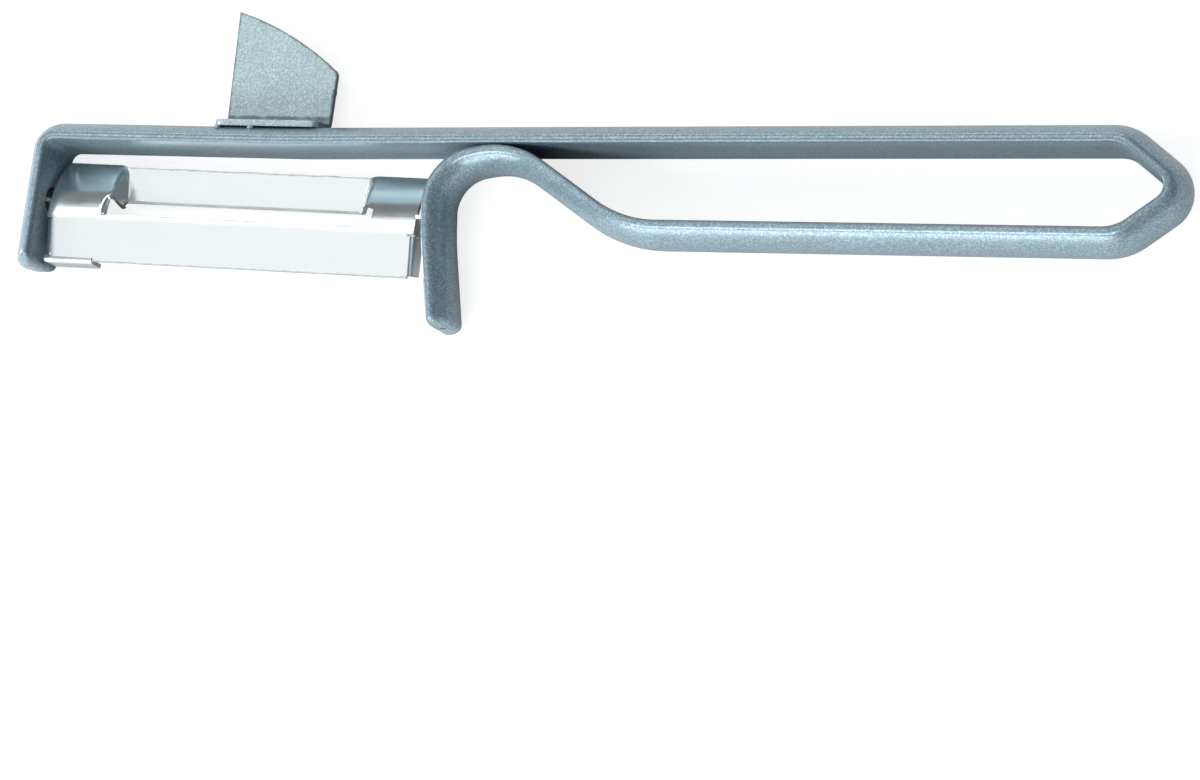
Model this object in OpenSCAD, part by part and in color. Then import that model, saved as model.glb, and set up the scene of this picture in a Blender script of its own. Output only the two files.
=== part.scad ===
/* [Strip] */
// Width of the half-round strip, which is the peeler's depth as it lies
strip_width = 10; // [9:0.5:12]
// Thickness from the flat inner face to the crown of the dome
strip_thickness = 3.3; // [3:0.1:3.8]
// Height of the square side below the dome
side_height = 0.8; // [0.6:0.1:1.2]
// Bevel along the two edges of the flat face
edge_bevel = 0.35; // [0.2:0.05:0.5]
// Rounding of the strip's two cut ends
end_round = 1.1; // [0.5:0.1:1.3]

/* [Handle path] */
// X of the left leg's cut end, on the flat face
leg_end_x = -83; // [-84:0.1:-82]
// Y of the left leg's cut end
leg_end_y = -15.65; // [-16.3:0.05:-15]
// Direction of the left leg, in degrees from +X
left_leg_angle = 87; // [86:0.5:88]
// Straight length of the left leg
left_leg = 17.3; // [16.5:0.1:18]
// Inner radius of the corner between the left leg and the top bar
corner_radius = 1.4; // [1:0.1:2]
// Length of the top bar that the eye remover stands on
top_bar_front = 35.5; // [34:0.5:37]
// Slope of that length, in degrees
front_slope = -1.1; // [-1.5:0.1:0]
// Length of the top bar over the hand grip
top_bar_grip = 119.2; // [117:0.1:121]
// Slope of the grip length, in degrees
grip_slope = 0.2; // [0:0.1:0.5]
// Radius of the slight set between the two lengths
set_radius = 60; // [40:5:80]
// Slope of the upper side of the pointed loop, in degrees below level
nose_upper_slope = 39; // [37:0.5:41]
// Inner radius where the top bar turns into the loop
nose_entry_radius = 4; // [3:0.5:5]
// Straight length of the upper side of the loop
nose_upper = 5.5; // [5:0.1:6]
// Straight length of the lower side of the loop
nose_lower = 4.9; // [4.4:0.1:5.4]
// Inner radius of the point of the loop
nose_radius = 2; // [1.5:0.1:2.5]
// Slope of the lower side of the loop, in degrees
nose_lower_slope = 37; // [36:0.5:38]
// Inner radius where the loop turns into the lower bar
nose_exit_radius = 5.5; // [4.5:0.5:6.5]
// Slope of the lower bar, in degrees
lower_bar_slope = 0.4; // [0:0.1:0.8]
// Slope of the rise from the lower bar to the hump, in degrees
rise_slope = 34; // [33:0.5:35]
// Radius from the lower bar into the rise
rise_radius = 16; // [14:1:18]
// Straight length of the rise
rise = 10.2; // [10:0.1:10.3]
// Radius of the flat face over the back of the hump
hump_back_radius = 13; // [12:0.5:14]
// Straight length at the top of the hump
hump_top = 1.4; // [1:0.1:1.8]
// Slope of the top of the hump, in degrees below level towards the hook leg
hump_top_slope = 10; // [9:0.5:11]
// Radius of the flat face from the hump into the hook leg
hump_front_radius = 8; // [7.5:0.1:8.5]
// Lean of the upper part of the hook leg, in degrees from upright
hook_lean = 4; // [3:0.5:5]
// Length of the hook leg above its slight outward set
hook_upper = 2.5; // [2:0.1:3]
// Length of the hook leg below that set
hook_lower = 11.6; // [8:0.1:12.5]
// Outward set of the hook leg, in degrees
hook_set = 5; // [3:0.5:7]
// Radius of that set
hook_set_radius = 40; // [30:5:50]

/* [Blade hinge] */
// Radius of the two hinge holes in the legs
hole_radius = 1.95; // [1.8:0.05:2.1]
// Running clearance between a hinge tongue and its hole, on the radius
hinge_clearance = 0.08; // [0.05:0.01:0.1]
// Depth of the blind hole in the hook leg
blind_depth = 2.4; // [2.2:0.1:2.6]
// How far the left tongue reaches into the through hole
left_reach = 2.5; // [2:0.1:3]
// How far the right tongue reaches into the blind hole
right_reach = 2; // [1.6:0.1:2.2]
// Distance of the hinge axis from the left leg's cut end, along its flat face
hinge_up = 10.47; // [10:0.01:11]
// Slope of the hinge axis, in degrees
hinge_slope = -2.15; // [-2.5:0.05:-2]

/* [Blade] */
// Sheet thickness of the blade
blade_sheet = 0.6; // [0.5:0.05:0.7]
// Gap between the left leg and the blade's left end
blade_gap = 0.8; // [0.7:0.1:1]
// Length of the blade between its ends
blade_length = 57.4; // [55:0.1:60]
// Gap between the blade's right end and the hook leg, along the hinge axis
blade_end_gap = 2.23; // [1.8:0.01:2.6]
// Distance from the hinge axis down to the lower edge
panel_drop = 9; // [8.5:0.1:9.2]
// Height of the flat lower panel up to the fold
panel_height = 6.4; // [6:0.1:6.8]
// Forward lean of the panel, in degrees
panel_lean = 8; // [6:1:10]
// How far the panel's lower edge stands in front of the axis
panel_front = 0.5; // [0.3:0.1:0.7]
// Radius of the curved upper wall
wall_radius = 13; // [12.5:0.5:14]
// Backward lean of the upper wall at the fold, in degrees
wall_lean_low = 6; // [4:1:8]
// Backward lean of the upper wall at its top edge, in degrees
wall_lean_top = 51; // [49:1:53]
// Distance of the slot's left end from the blade's left end
slot_start = 8; // [7:0.1:9]
// Distance of the slot's right end from the blade's left end
slot_end = 50.8; // [50:0.1:51.5]
// Lean of the wall at the slot's lower edge, in degrees
slot_lean_low = 8.5; // [8.5:0.5:9.5]
// Lean of the wall at the slot's upper edge beside the lip, in degrees
slot_lean_top = 22; // [20:1:24]
// Distance of the pressed-back lip's left end from the blade's left end
lip_start = 9; // [8.5:0.1:10]
// Distance of the lip's right end from the blade's left end
lip_end = 48.6; // [47.5:0.1:49.5]
// Forward lean of the flat lip, in degrees
lip_lean = 9; // [6:1:12]
// Length of the flat lip from the wall's top edge to its cutting edge
lip_length = 5.35; // [5:0.05:5.6]
// Length of the stiffening flange at the left end of the lower edge
flange_length = 7.7; // [7:0.1:8.5]
// Depth of that flange, from front to back
flange_depth = 3.2; // [3:0.1:3.6]

/* [Eye remover] */
// Sheet thickness of the bracket
bracket_sheet = 0.9; // [0.8:0.1:1.1]
// Distance of the bracket's left edge from the corner of the bar, along the top bar
bracket_place = 24.15; // [22:0.05:26]
// Width of the bracket along the bar
bracket_width = 16.5; // [15:0.1:18]
// Height of the tip over the flange
tip_height = 18.1; // [17:0.1:19]
// Height of the right-hand shoulder over the flange
shoulder_height = 8.6; // [8:0.1:9.5]
// Radius of the curved cutting edge
edge_radius = 46; // [36:1:60]
// Radius of the rounded shoulder
shoulder_radius = 1.2; // [0.8:0.1:1.6]
// Distance of the upright plate's back face behind the middle of the strip
plate_setback = 3; // [2.7:0.1:3.5]
// Distance of the flange's front edge in front of the middle of the strip
flange_reach = 3.2; // [2.8:0.1:3.6]
// Forward droop of the flange along the dome, in degrees
flange_droop = 8; // [7:0.5:9]
// Inner radius of the bracket's bend
bracket_bend = 0.5; // [0.4:0.1:0.8]
// Radius of the flange's front left corner
flange_corner = 2; // [1:0.5:2.5]
// Amount by which the upright plate is narrower than the bracket at its foot
plate_narrowing = 0.4; // [0.2:0.1:0.6]

/* [Welds] */
// Radius of the tack beads along the flange's front edge
bead_radius = 0.5; // [0.4:0.05:0.6]
// Distance of the left bead from the bracket's left edge
left_bead = 1; // [0.6:0.1:1.5]
// Distance of the right bead from the bracket's left edge
right_bead = 6.2; // [4:0.1:9]
// Radius of the spot weld between the hump and the top bar
spot_radius = 2.2; // [1.5:0.1:2.5]

/* [Hidden] */
$fn = 48;
depth_middle = strip_width / 2;

// Fineness of the swept strip: degrees of bend between rings, arc points and steps of an end's rounding.
ring_step = 7;
dome_points = 9;
end_steps = 3;

// The dome is one arc, from the top of one square side over the crown to the other.
dome_rise = strip_thickness - side_height;
dome_radius = (depth_middle * depth_middle + dome_rise * dome_rise) / (2 * dome_rise);
dome_half_angle = asin(depth_middle / dome_radius);

// Section of the strip as [outward, z], from the back edge round the dome to the front edge.
strip_section = concat(
    [[0, edge_bevel], [edge_bevel, 0]],
    [for (k = [0 : dome_points - 1])
        let (a = dome_half_angle * (2 * k / (dome_points - 1) - 1))
        [strip_thickness - dome_radius * (1 - cos(a)), depth_middle + dome_radius * sin(a)]],
    [[edge_bevel, strip_width], [0, strip_width - edge_bevel]]
);

// Each step is a straight length, then a turn in degrees on a radius of the flat face.
function strip_steps(lower_bar) = [
    [left_leg, front_slope - left_leg_angle, corner_radius],
    [top_bar_front, grip_slope - front_slope, set_radius],
    [top_bar_grip, -nose_upper_slope - grip_slope, nose_entry_radius],
    [nose_upper, nose_upper_slope + nose_lower_slope - 180, nose_radius],
    [nose_lower, -nose_lower_slope - lower_bar_slope, nose_exit_radius],
    [lower_bar, lower_bar_slope - rise_slope, rise_radius],
    [rise, rise_slope + hump_top_slope, hump_back_radius],
    [hump_top, 90 - hump_top_slope + hook_lean, hump_front_radius],
    [hook_upper, hook_set, hook_set_radius]
];
path_start = [leg_end_x, leg_end_y, left_leg_angle];
hook_step = 8;

// A pose is [x, y, direction] on the flat face.
function along(pose, d) = [pose.x + d * cos(pose.z), pose.y + d * sin(pose.z), pose.z];
function turned(pose, turn, r) =
    let (s = sign(turn), h = pose.z + turn)
    [pose.x + s * r * (sin(h) - sin(pose.z)), pose.y - s * r * (cos(h) - cos(pose.z)), h];
function step_end(pose, step) = turned(along(pose, step[0]), step[1], step[2]);
function step_starts(pose, steps, i = 0) =
    i == len(steps) ? [pose] : concat([pose], step_starts(step_end(pose, steps[i]), steps, i + 1));
function bend_poses(pose, step) =
    let (n = max(1, ceil(abs(step[1]) / ring_step)))
    [for (k = [0 : n]) turned(along(pose, step[0]), step[1] * k / n, step[2])];

// The hinge axis starts on the left leg's flat face, and the blade and its end gaps set where it ends.
hinge_pose = along(path_start, hinge_up);
hinge = [hinge_pose.x, hinge_pose.y];
axis_way = [cos(hinge_slope), sin(hinge_slope)];
blade_end = blade_gap + blade_length;
hinge_span = blade_end + blade_end_gap;

// The lower bar is as long as it takes to bring the hook leg's flat face to the end of the hinge axis.
hook_way = [sin(hook_lean), -cos(hook_lean)];
bar_way = [-cos(lower_bar_slope), sin(lower_bar_slope)];
function axis_reach(v) = cross(v, hook_way) / cross(axis_way, hook_way);
bare_top = step_starts(path_start, strip_steps(0))[hook_step];
bare_span = axis_reach([bare_top.x, bare_top.y] - hinge);
lower_bar = (hinge_span - bare_span) / axis_reach(bar_way);

steps = strip_steps(lower_bar);
starts = step_starts(path_start, steps);
hook_start = starts[len(steps)];
hook_end = along(hook_start, hook_lower);
bends = [for (i = [0 : len(steps) - 1]) each bend_poses(starts[i], steps[i])];

// A ring is the section stood across the path, drawn in by an inset near the cut ends.
function ring(pose, inset = 0) = [
    for (p = strip_section)
        let (
            n = strip_thickness / 2 + (p.x - strip_thickness / 2) * (1 - 2 * inset / strip_thickness),
            z = depth_middle + (p.y - depth_middle) * (1 - 2 * inset / strip_width)
        )
        [pose.x - n * sin(pose.z), pose.y + n * cos(pose.z), z]
];

// Ring k of a rounded end, from the full section at 0 to the smallest one at end_steps.
function end_ring(pose, way, k) =
    let (a = 90 * k / end_steps)
    ring(along(pose, way * end_round * (1 - sin(a))), end_round * (1 - cos(a)));
rings = concat(
    [for (k = [0 : end_steps]) end_ring(path_start, 1, end_steps - k)],
    [for (pose = bends) ring(pose)],
    [for (k = [0 : end_steps]) end_ring(hook_end, -1, k)]
);

tongue_radius = hole_radius - hinge_clearance;
drill_start = 1.5;

// Front wall of the blade in [up, forward] from the hinge axis: a flat panel, a fold and a curved wall.
fold = [-panel_drop, panel_front] + panel_height * [cos(panel_lean), sin(panel_lean)];
wall_centre = fold - wall_radius * [sin(wall_lean_low), cos(wall_lean_low)];

// Polyline vertices lie at the same leans in every section, so neighbouring stretches meet face to face.
wall_steps = 3;
function leans_between(low, high) = [for (k = [1 : wall_steps]) low + (high - low) * k / wall_steps];
below_slot = [wall_lean_low, slot_lean_low];
beside_slot = leans_between(slot_lean_low, slot_lean_top);
above_slot = leans_between(slot_lean_top, wall_lean_top);
function wall_point(lean, r = wall_radius) = wall_centre + r * [sin(lean), cos(lean)];
function wall_side(leans, side) =
    [for (lean = leans) wall_point(lean, wall_radius + side * blade_sheet / 2)];
function backwards(list) = [for (k = [len(list) - 1 : -1 : 0]) list[k]];
function panel_side(side) =
    [-panel_drop, panel_front] + side * blade_sheet / 2 * [-sin(panel_lean), cos(panel_lean)];
function lip_point(down, side) =
    wall_point(wall_lean_top)
    - down * [cos(lip_lean), sin(lip_lean)]
    + side * blade_sheet / 2 * [-sin(lip_lean), cos(lip_lean)];
function wall_outline(leans) = concat(wall_side(leans, 1), backwards(wall_side(leans, -1)));
function panel_outline(leans) =
    concat([panel_side(1)], wall_side(leans, 1), backwards(wall_side(leans, -1)), [panel_side(-1)]);
lip_outline = [lip_point(0, 1), lip_point(0, -1), lip_point(lip_length, -1), lip_point(lip_length, 1)];
function lip_end_outline(leans) =
    concat(wall_side(leans, 1), [lip_point(0, -1), lip_point(lip_length, -1), lip_point(lip_length, 1)]);

// How far forward the middle of the front wall stands at a height from the hinge axis.
function wall_forward(up) = up < fold.x
    ? panel_front + (up + panel_drop) * tan(panel_lean)
    : wall_centre.y + sqrt(pow(wall_radius, 2) - pow(up - wall_centre.x, 2));
function wall_middle(up) = [up, wall_forward(up)];

// The end walls are folded back from the panel. Corners are [up, forward] from the hinge axis.
ear_over_tongue = 0.2;
ear_behind_tongue = 0.3;
ear_top = blade_sheet / 2 + ear_over_tongue;
ear_back = -tongue_radius - ear_behind_tongue;
ear_bite = 0.1;
left_ear_low = -6;
left_ear_back_low = -4.5;
right_ear_low = -8.7;
right_ear_back_low = -8.2;
right_ear_step = -2.2;
right_ear_back = -3;
left_ear = concat(
    [wall_middle(left_ear_low), fold, wall_middle(ear_top), [ear_top, ear_back]],
    [[left_ear_back_low, ear_back]]
);
right_ear = concat(
    [wall_middle(right_ear_low), fold, wall_middle(ear_top), [ear_top, ear_back]],
    [[right_ear_step, right_ear_back], [right_ear_back_low, right_ear_back]]
);

// Bracket of the eye remover in [z, y]: upright plate, bend and drooping flange, measured from the crown.
plate_back = depth_middle - plate_setback;
flange_front = depth_middle + flange_reach;
bend_radius = bracket_bend + bracket_sheet / 2;
plate_z = plate_back + bracket_sheet / 2;
flange_lift = 0.03;
touch_z = depth_middle + dome_radius * sin(flange_droop);
touch_y = flange_lift - dome_radius * (1 - cos(flange_droop));
bend_turn = 90 - flange_droop;
bend_steps = 5;

// The two outlines that cut the bracket out of its bent sheet pass its edges by this much.
cut_over = 1;
function flange_y(z, side) =
    touch_y + bracket_sheet * (1 + side) / 2 / cos(flange_droop) - (z - touch_z) * tan(flange_droop);
bend_z = plate_z + bend_radius;
bend_y = flange_y(bend_z, 0) + bend_radius / cos(flange_droop);
function bracket_side(side) =
    let (r = bend_radius - side * bracket_sheet / 2)
    concat(
        [[bend_z - r, tip_height + cut_over]],
        [for (k = [0 : bend_steps])
            let (a = bend_turn * k / bend_steps)
            [bend_z - r * cos(a), bend_y - r * sin(a)]],
        [[flange_front, flange_y(flange_front, side)]]
    );
bracket_outline = concat(bracket_side(1), backwards(bracket_side(-1)));

// Outline of the bracket from the front: straight back edge, curved cutting edge, rounded shoulder.
shoulder_turn = 48;
shoulder_steps = 4;
edge_steps = 12;
plate_foot = -2 * cut_over;
tip = [0, tip_height];
shoulder_centre = [bracket_width - shoulder_radius, shoulder_height];
shoulder_start = shoulder_centre + shoulder_radius * [cos(shoulder_turn), sin(shoulder_turn)];
edge_chord = shoulder_start - tip;
edge_half = asin(norm(edge_chord) / 2 / edge_radius);
edge_way = atan2(edge_chord.y, edge_chord.x);
edge_centre = tip + edge_radius * [sin(edge_way + edge_half), -cos(edge_way + edge_half)];
plate_outline = concat(
    [[0, plate_foot]],
    [for (k = [0 : edge_steps - 1])
        let (h = edge_way + edge_half * (1 - 2 * k / edge_steps))
        edge_centre + edge_radius * [-sin(h), cos(h)]],
    [for (k = [0 : shoulder_steps])
        let (a = shoulder_turn * (1 - k / shoulder_steps))
        shoulder_centre + shoulder_radius * [cos(a), sin(a)]],
    [[bracket_width - plate_narrowing, plate_foot]]
);
corner_steps = 6;
flange_plan = concat(
    [[0, plate_back - cut_over], [bracket_width, plate_back - cut_over]],
    [[bracket_width, flange_front + cut_over]],
    [for (k = [0 : corner_steps])
        let (a = 90 + 90 * k / corner_steps)
        [flange_corner * (1 + cos(a)), flange_front - flange_corner * (1 - sin(a))]]
);

// Height of the flat face of the top bar's grip length.
function grip_flat(x) = starts[2].y + (x - starts[2].x) * tan(grip_slope);
hump_crest = turned(along(starts[6], rise), rise_slope, hump_back_radius);
spot_bite = 0.15;

// The beads sit in the narrow gap between the flange's front edge and the dome.
function dome_y(z) = sqrt(pow(dome_radius, 2) - pow(z - depth_middle, 2)) - dome_radius;
bead_y = (dome_y(flange_front) + flange_y(flange_front, -1)) / 2;
bead_bite = 0.05;

module at_hinge() {
    translate([hinge.x, hinge.y, depth_middle])
        rotate([0, 0, hinge_slope])
            children();
}

// Stands a 2D [up, forward] shape across the blade and draws it along the hinge axis.
module stretch(from, to) {
    translate([from, 0, 0])
        rotate([90, 0, 90])
            linear_extrude(height = to - from)
                children();
}

module axial_cylinder(radius, from, to) {
    translate([from, 0, 0])
        rotate([0, 90, 0])
            cylinder(r = radius, h = to - from);
}

module at_bracket() {
    pose = along(starts[1], bracket_place);
    translate([pose.x - strip_thickness * sin(pose.z), pose.y + strip_thickness * cos(pose.z), 0])
        rotate([0, 0, pose.z])
            children();
}

module swept(rings) {
    n = len(rings[0]);
    last = len(rings) - 1;
    polyhedron(
        points = [for (r = rings) each r],
        faces = concat(
            [[for (k = [0 : n - 1]) k]],
            [for (i = [0 : last - 1], k = [0 : n - 1])
                [i * n + k, (i + 1) * n + k, (i + 1) * n + (k + 1) % n, i * n + (k + 1) % n]],
            [[for (k = [n - 1 : -1 : 0]) last * n + k]]
        )
    );
}

// One half-round strip bent into the fork, top bar, pointed loop, lower bar and finger hook.
module handle_strip() {
    color("slategray")
        difference() {
            swept(rings);
            at_hinge() {
                axial_cylinder(hole_radius, -strip_thickness - drill_start, drill_start);
                axial_cylinder(hole_radius, hinge_span - drill_start, hinge_span + blind_depth);
            }
        }
}

// Sheet bracket: the upright plate digs out eyes, and its foot lies on the crown of the top bar.
module eye_remover() {
    color("lightslategray")
        at_bracket()
            intersection() {
                rotate([0, 90, 0])
                    mirror([1, 0, 0])
                        linear_extrude(height = bracket_width)
                            polygon(bracket_outline);
                linear_extrude(height = strip_width)
                    polygon(plate_outline);
                rotate([-90, 0, 0])
                    mirror([0, 1, 0])
                        translate([0, 0, plate_foot])
                            linear_extrude(height = tip_height + cut_over - plate_foot)
                                polygon(flange_plan);
            }
}

// Two beads that hold the bracket's flange to the crown of the bar.
module tack_welds() {
    color("lightgray")
        at_bracket()
            for (x = [left_bead, right_bead])
                translate([x, bead_y, flange_front - bead_bite])
                    sphere(r = bead_radius);
}

// Weld between the crest of the hump and the top bar.
module hump_weld() {
    color("gray")
        translate([hump_crest.x, hump_crest.y - spot_bite, depth_middle])
            rotate([-90, 0, 0])
                cylinder(r = spot_radius, h = grip_flat(hump_crest.x) - hump_crest.y + 2 * spot_bite);
}

module ear(at, outline) {
    stretch(at, at + blade_sheet)
        polygon(outline);
}

// Flat tongue with rounded edges, which turns in a hinge hole.
module tongue(from, to) {
    intersection() {
        axial_cylinder(tongue_radius, from, to);
        translate([from, -blade_sheet / 2, -tongue_radius])
            cube([to - from, blade_sheet, 2 * tongue_radius]);
    }
}

// One stamped sheet: front wall with the slot, the pressed-back lip, two end walls, two tongues and a flange.
module blade() {
    all_leans = concat(below_slot, beside_slot, above_slot);
    upper_leans = concat([slot_lean_top], above_slot);
    color("gainsboro")
        at_hinge() {
            stretch(blade_gap, blade_gap + slot_start)
                polygon(panel_outline(all_leans));
            stretch(blade_gap + slot_start, blade_gap + slot_end)
                polygon(panel_outline(below_slot));
            stretch(blade_gap + slot_end, blade_end)
                polygon(panel_outline(all_leans));
            stretch(blade_gap + slot_start, blade_gap + lip_start)
                polygon(wall_outline(upper_leans));
            stretch(blade_gap + lip_start, blade_gap + lip_end)
                polygon(lip_outline);
            for (at = [lip_start, lip_end - blade_sheet])
                stretch(blade_gap + at, blade_gap + at + blade_sheet)
                    polygon(lip_end_outline(upper_leans));
            stretch(blade_gap + lip_end, blade_gap + slot_end)
                polygon(wall_outline(upper_leans));
            ear(blade_gap, left_ear);
            ear(blade_end - blade_sheet, right_ear);
            tongue(-left_reach, blade_gap + blade_sheet - ear_bite);
            tongue(blade_end - blade_sheet + ear_bite, hinge_span + right_reach);
            translate([blade_gap, -panel_drop - blade_sheet / 2, panel_front - flange_depth])
                cube([flange_length, blade_sheet, flange_depth + ear_bite]);
        }
}

handle_strip();
eye_remover();
tack_welds();
hump_weld();
blade();
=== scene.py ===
import bmesh
import bpy
import math
from mathutils import Matrix, Vector
from mathutils.kdtree import KDTree


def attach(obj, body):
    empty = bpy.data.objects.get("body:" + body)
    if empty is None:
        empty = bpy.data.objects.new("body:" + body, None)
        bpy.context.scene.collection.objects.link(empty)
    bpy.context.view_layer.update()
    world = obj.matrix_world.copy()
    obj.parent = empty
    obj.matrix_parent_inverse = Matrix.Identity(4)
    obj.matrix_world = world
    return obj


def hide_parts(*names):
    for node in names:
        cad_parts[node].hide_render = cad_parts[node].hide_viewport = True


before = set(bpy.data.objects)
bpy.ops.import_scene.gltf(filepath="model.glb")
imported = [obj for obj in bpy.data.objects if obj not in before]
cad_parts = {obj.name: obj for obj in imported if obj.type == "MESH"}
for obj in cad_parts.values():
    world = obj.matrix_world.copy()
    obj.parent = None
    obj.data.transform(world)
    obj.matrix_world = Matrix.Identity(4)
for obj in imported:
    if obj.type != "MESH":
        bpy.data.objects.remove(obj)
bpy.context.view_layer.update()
print("frame loaded:", sorted(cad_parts))

mm = 0.001
scene = bpy.context.scene


# Small helpers for meshes that are drawn in millimetres and placed in metres

def newPiece(name, bm, material, body, replaced):
    mesh = bpy.data.meshes.new(name)
    bmesh.ops.transform(bm, matrix=Matrix.Scale(mm, 4), verts=bm.verts)
    bm.to_mesh(mesh)
    bm.free()
    piece = bpy.data.objects.new(name, mesh)
    scene.collection.objects.link(piece)
    mesh.materials.append(material)
    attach(piece, body)
    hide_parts(*replaced)
    return piece


def applyModifiers(piece):
    # The modifiers' result becomes the piece's own mesh
    graph = bpy.context.evaluated_depsgraph_get()
    finished = bpy.data.meshes.new_from_object(piece.evaluated_get(graph))
    piece.modifiers.clear()
    piece.data = finished


def smoothByAngle(piece, degrees):
    bm = bmesh.new()
    bm.from_mesh(piece.data)
    bmesh.ops.recalc_face_normals(bm, faces=bm.faces)
    for face in bm.faces:
        face.smooth = True
    for edge in bm.edges:
        edge.smooth = len(edge.link_faces) != 2 or edge.calc_face_angle(0) < math.radians(degrees)
    bm.to_mesh(piece.data)
    bm.free()


def weightNormals(piece):
    weighted = piece.modifiers.new("evenShading", "WEIGHTED_NORMAL")
    weighted.keep_sharp = True
    weighted.weight = 60


def lastVert(result):
    return [v for v in result["geom_last"] if isinstance(v, bmesh.types.BMVert)][0]


def drawTo(bm, vert, point):
    # One straight line from a vertex to a point
    made = bmesh.ops.extrude_vert_indiv(bm, verts=[vert])["verts"][0]
    made.co = Vector(point)
    return made


def drawArc(bm, vert, centre, axis, degrees, steps):
    result = bmesh.ops.spin(bm, geom=[vert], cent=centre, axis=axis, dvec=(0, 0, 0),
                            angle=math.radians(degrees), steps=steps, use_duplicate=False)
    return lastVert(result)


# Shader groups

def newGroup(name, inputs, outputs):
    group = bpy.data.node_groups.new(name, "ShaderNodeTree")
    for label, kind, value in inputs:
        socket = group.interface.new_socket(name=label, in_out="INPUT", socket_type=kind)
        if value is not None:
            socket.default_value = value
    for label, kind in outputs:
        group.interface.new_socket(name=label, in_out="OUTPUT", socket_type=kind)
    start = group.nodes.new("NodeGroupInput")
    end = group.nodes.new("NodeGroupOutput")
    return group, start, end


def addNode(tree, kind, **settings):
    node = tree.nodes.new(kind)
    for key, value in settings.items():
        if key in node.inputs.keys():
            node.inputs[key].default_value = value
        else:
            setattr(node, key, value)
    return node


def makeFleckGroup():
    # Fine light and dark flakes under a coat, with the faint unevenness of sprayed paint
    group, start, end = newGroup(
        "coatFleck",
        [("Vector", "NodeSocketVector", None),
         ("Base", "NodeSocketColor", (0.3, 0.35, 0.4, 1)),
         ("Fleck", "NodeSocketColor", (0.6, 0.65, 0.7, 1)),
         ("Fleck Scale", "NodeSocketFloat", 4200.0),
         ("Fleck Amount", "NodeSocketFloat", 0.4),
         ("Patch Amount", "NodeSocketFloat", 0.08)],
        [("Color", "NodeSocketColor"), ("Mask", "NodeSocketFloat"), ("Height", "NodeSocketFloat")])
    links = group.links
    flakes = addNode(group, "ShaderNodeTexVoronoi", feature="F1")
    fine = addNode(group, "ShaderNodeTexNoise", Detail=2.0, Roughness=0.7)
    finer = addNode(group, "ShaderNodeMath", operation="MULTIPLY")
    finer.inputs[1].default_value = 0.55
    shade = addNode(group, "ShaderNodeRGBToBW")
    both = addNode(group, "ShaderNodeMath", operation="MULTIPLY")
    ramp = addNode(group, "ShaderNodeValToRGB")
    ramp.color_ramp.elements[0].position = 0.16
    ramp.color_ramp.elements[1].position = 0.5
    amount = addNode(group, "ShaderNodeMath", operation="MULTIPLY")
    mix = addNode(group, "ShaderNodeMix", data_type="RGBA")
    patches = addNode(group, "ShaderNodeTexNoise", Scale=160.0, Detail=3.0)
    patchMap = addNode(group, "ShaderNodeMapRange")
    patchMap.inputs["From Min"].default_value = 0.3
    patchMap.inputs["From Max"].default_value = 0.7
    patchMap.inputs["To Min"].default_value = -1.0
    patchMap.inputs["To Max"].default_value = 1.0
    patchShare = addNode(group, "ShaderNodeMath", operation="MULTIPLY")
    patchGain = addNode(group, "ShaderNodeMath", operation="ADD")
    patchGain.inputs[1].default_value = 1.0
    tint = addNode(group, "ShaderNodeVectorMath", operation="SCALE")
    peel = addNode(group, "ShaderNodeTexNoise", Scale=1300.0, Detail=1.5)
    for node in (flakes, fine, patches, peel):
        links.new(start.outputs["Vector"], node.inputs["Vector"])
    links.new(start.outputs["Fleck Scale"], flakes.inputs["Scale"])
    links.new(start.outputs["Fleck Scale"], finer.inputs[0])
    links.new(finer.outputs[0], fine.inputs["Scale"])
    links.new(flakes.outputs["Color"], shade.inputs["Color"])
    links.new(shade.outputs[0], both.inputs[0])
    links.new(fine.outputs["Fac"], both.inputs[1])
    links.new(both.outputs[0], ramp.inputs["Fac"])
    links.new(ramp.outputs["Color"], amount.inputs[0])
    links.new(start.outputs["Fleck Amount"], amount.inputs[1])
    links.new(amount.outputs[0], mix.inputs["Factor"])
    links.new(start.outputs["Base"], mix.inputs["A"])
    links.new(start.outputs["Fleck"], mix.inputs["B"])
    links.new(patches.outputs["Fac"], patchMap.inputs["Value"])
    links.new(patchMap.outputs[0], patchShare.inputs[0])
    links.new(start.outputs["Patch Amount"], patchShare.inputs[1])
    links.new(patchShare.outputs[0], patchGain.inputs[0])
    links.new(mix.outputs["Result"], tint.inputs[0])
    links.new(patchGain.outputs[0], tint.inputs["Scale"])
    links.new(tint.outputs[0], end.inputs["Color"])
    links.new(amount.outputs[0], end.inputs["Mask"])
    links.new(peel.outputs["Fac"], end.inputs["Height"])
    return group


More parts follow.
